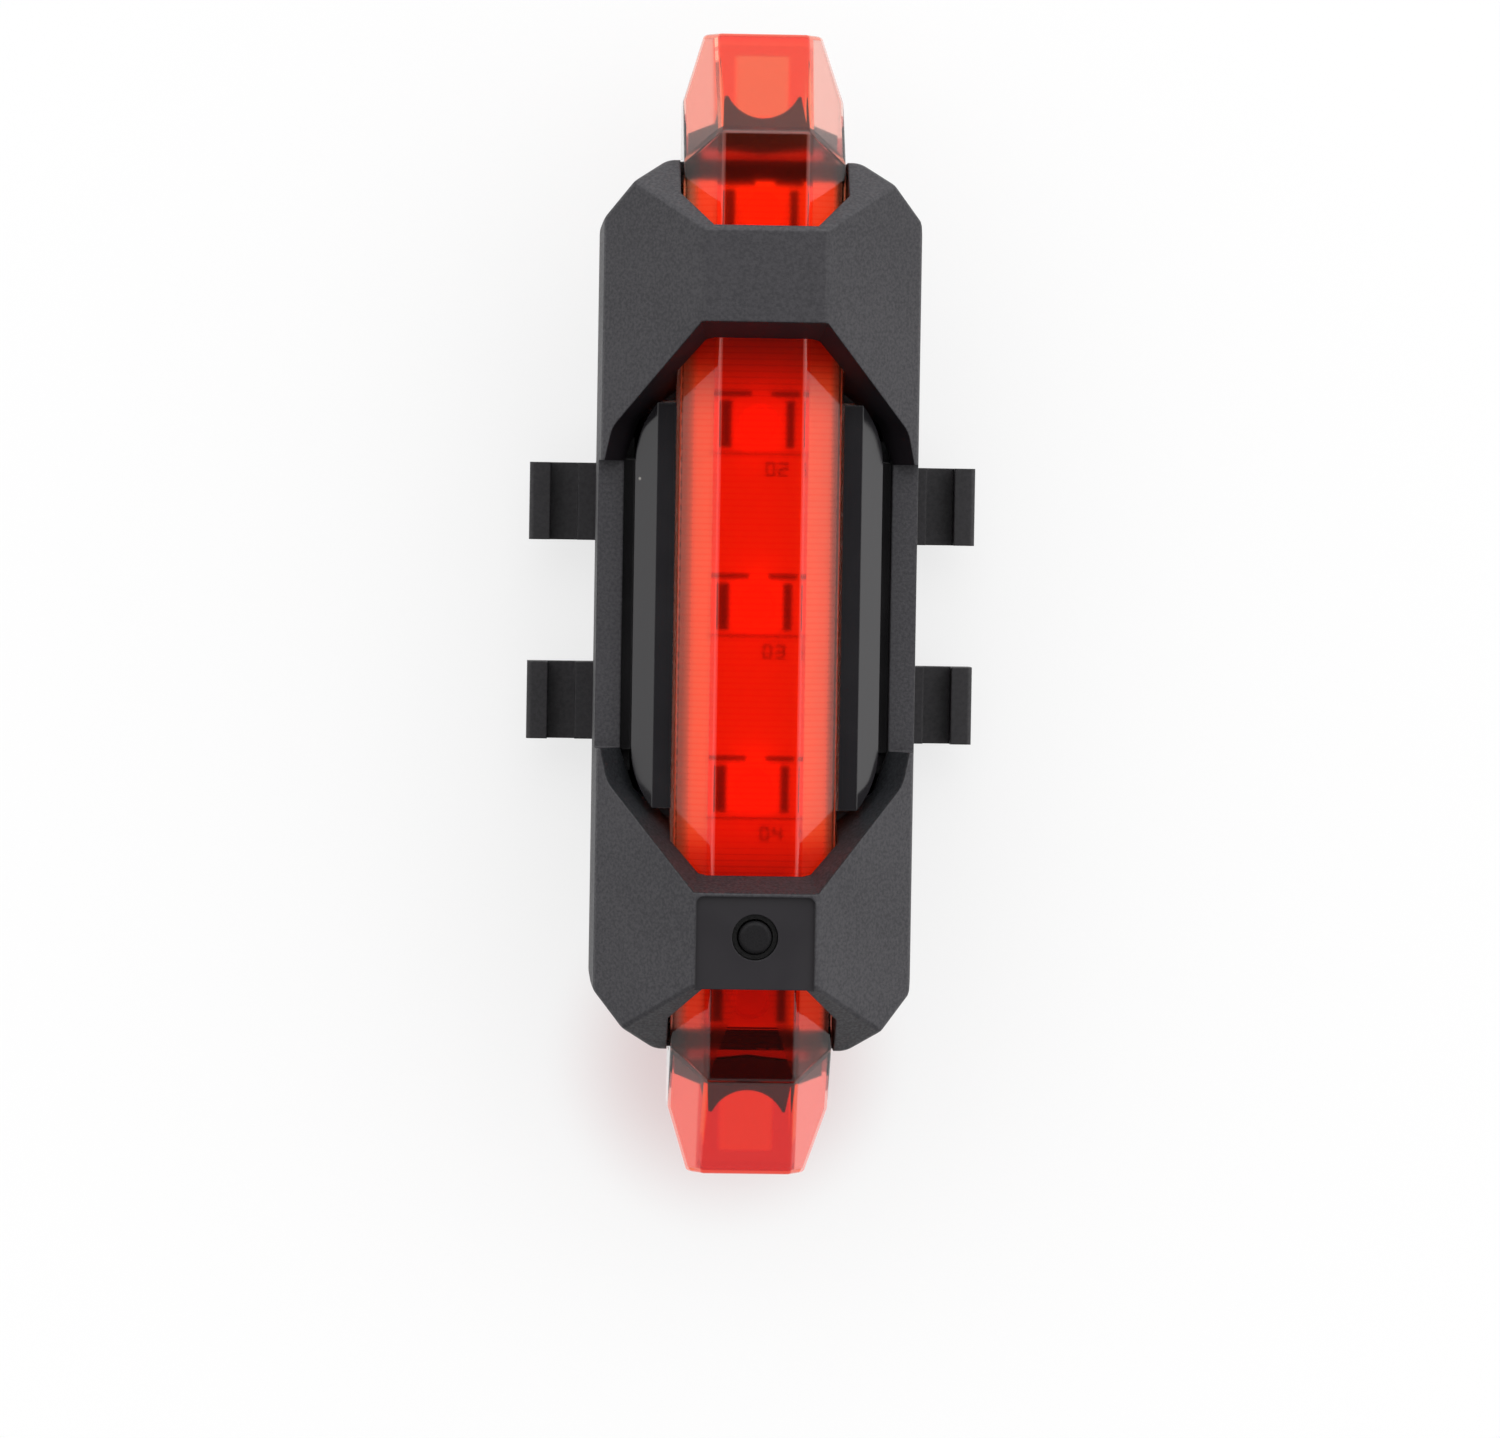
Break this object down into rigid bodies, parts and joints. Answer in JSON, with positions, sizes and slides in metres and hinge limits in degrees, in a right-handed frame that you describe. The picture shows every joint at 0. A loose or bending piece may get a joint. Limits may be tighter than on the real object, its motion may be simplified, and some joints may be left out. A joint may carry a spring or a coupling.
{
  "type": "bicycle tail light",
  "caption": "Slim rechargeable bicycle tail light: long faceted red lens in a black housing with a push button and charging port, on a strap bracket with a curved saddle.",
  "frame": {"origin": "on the surface that the light lies on, under the middle of its outline", "axes": "+Y along the light, away from the button end; +Z out of its face; +X completes the frame, on the charging port's side"},
  "size_m": [0.03, 0.0756, 0.0245],
  "materials": {
    "cover_plastic": "fine spark-textured moulded plastic, charcoal black",
    "case_plastic": "fine spark-textured moulded plastic, black",
    "bracket_plastic": "satin moulded plastic, black",
    "red_lens": "clear red polycarbonate with fine moulded ribs inside",
    "gloss_strip": "polished black plastic",
    "button_plastic": "satin black plastic",
    "soft_rubber": "soft black silicone",
    "board_white": "white solder resist",
    "lamp_body": "white lamp package with clear resin",
    "chip_black": "black epoxy",
    "small_parts": "ceramic chip parts with tinned ends",
    "socket_steel": "tinned steel shell",
    "tab_nickel": "nickel strip",
    "battery_foil": "aluminium pouch foil",
    "foam_grey": "grey foam",
    "screw_steel": "dark zinc-plated steel"
  },
  "bodies": {
    "housing": {"front_cover": "cover_plastic", "back_case": "case_plastic", "lens": "red_lens", "bezel_left": "gloss_strip", "bezel_right": "gloss_strip", "button_seal": "soft_rubber", "tact_switch": "chip_black", "led_board": "board_white", "current_resistors": "small_parts", "capacitors": "small_parts", "mode_chip": "chip_black", "charge_chip": "chip_black", "charge_indicator": "lamp_body", "usb_socket": "socket_steel", "usb_tongue": "chip_black", "plug_anchor": "soft_rubber", "battery_cell": "battery_foil", "battery_foam": "foam_grey", "battery_tab_positive": "tab_nickel", "battery_tab_negative": "tab_nickel", "case_gasket": "soft_rubber", "case_screws": "screw_steel", "led_1": "lamp_body", "led_2": "lamp_body", "led_3": "lamp_body", "led_4": "lamp_body", "led_5": "lamp_body"},
    "button": {"mode_button": "button_plastic", "switch_plunger": "chip_black"},
    "port_plug": {"usb_plug": "soft_rubber"},
    "bracket": {"mount_bracket": "bracket_plastic", "saddle_pad": "soft_rubber"}
  },
  "joints": [
    {"name": "button_press", "type": "slide", "parent": "housing", "child": "button", "axis": [0, 0, -1], "range_m": [0, 0.00035], "stiffness_N_per_m": 1500, "springref_m": -0.0006},
    {"name": "plug_open", "type": "hinge", "parent": "housing", "child": "port_plug", "pos_m": [0.0106, 0.01395, 0.01268], "axis": [0, 0, -1], "range_deg": [0, 120]},
    {"name": "bracket_slide", "type": "slide", "parent": "housing", "child": "bracket", "axis": [0, -1, 0], "range_m": [0, 0.027]}
  ]
}
